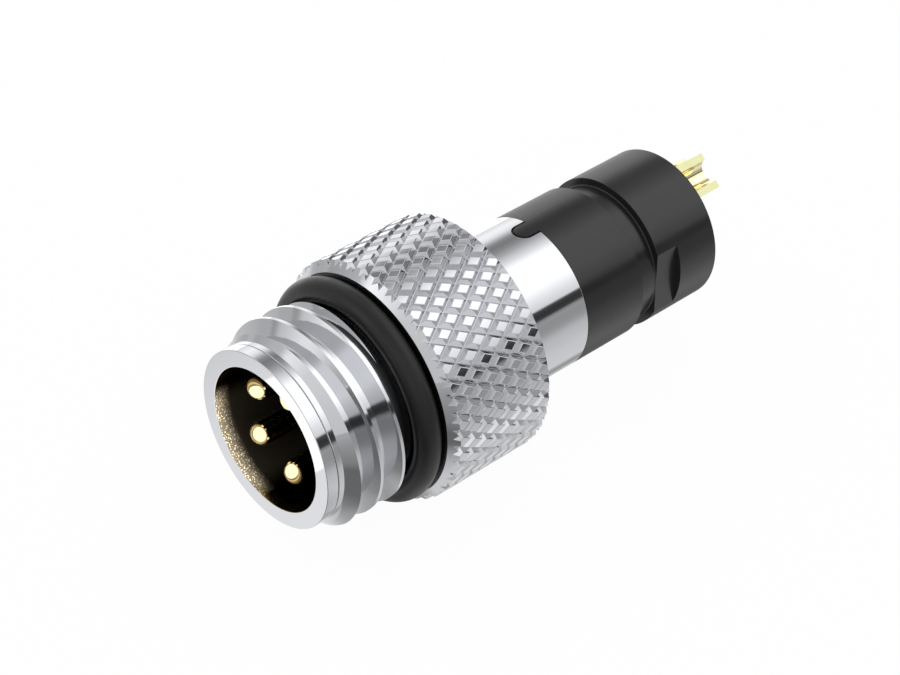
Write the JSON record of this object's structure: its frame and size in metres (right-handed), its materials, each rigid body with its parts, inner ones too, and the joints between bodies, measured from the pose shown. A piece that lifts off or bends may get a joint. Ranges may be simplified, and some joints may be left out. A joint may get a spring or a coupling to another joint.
{
  "type": "circular connector insert",
  "caption": "Round male cable connector insert: knurled screw ring with outside thread and seal, keyed shield tube, black contact carrier, gold pins and solder cups.",
  "frame": {"origin": "centre of the mating face, the front rim of the shield shell", "axes": "+Y along the connector's axis from the mating face to the solder cups, +Z towards the keyway"},
  "size_m": [0.0096, 0.0223, 0.0096],
  "materials": {
    "nickel_shell": "bright nickel plate",
    "nickel_screw": "satin nickel plate",
    "black_plastic": "satin moulded",
    "gold": "gold plate",
    "rubber": "matt"
  },
  "bodies": {
    "insert": {"shield_shell": "nickel_shell", "contact_carrier": "black_plastic", "contact_pin_1": "gold", "contact_pin_2": "gold", "contact_pin_3": "gold", "contact_pin_4": "gold"},
    "coupling": {"coupling_screw": "nickel_screw", "o_ring": "rubber"}
  },
  "joints": [
    {"name": "coupling_spin", "type": "hinge", "parent": "insert", "child": "coupling", "pos_m": [0, 0.005, 0], "axis": [0, 1, 0], "continuous": true}
  ]
}
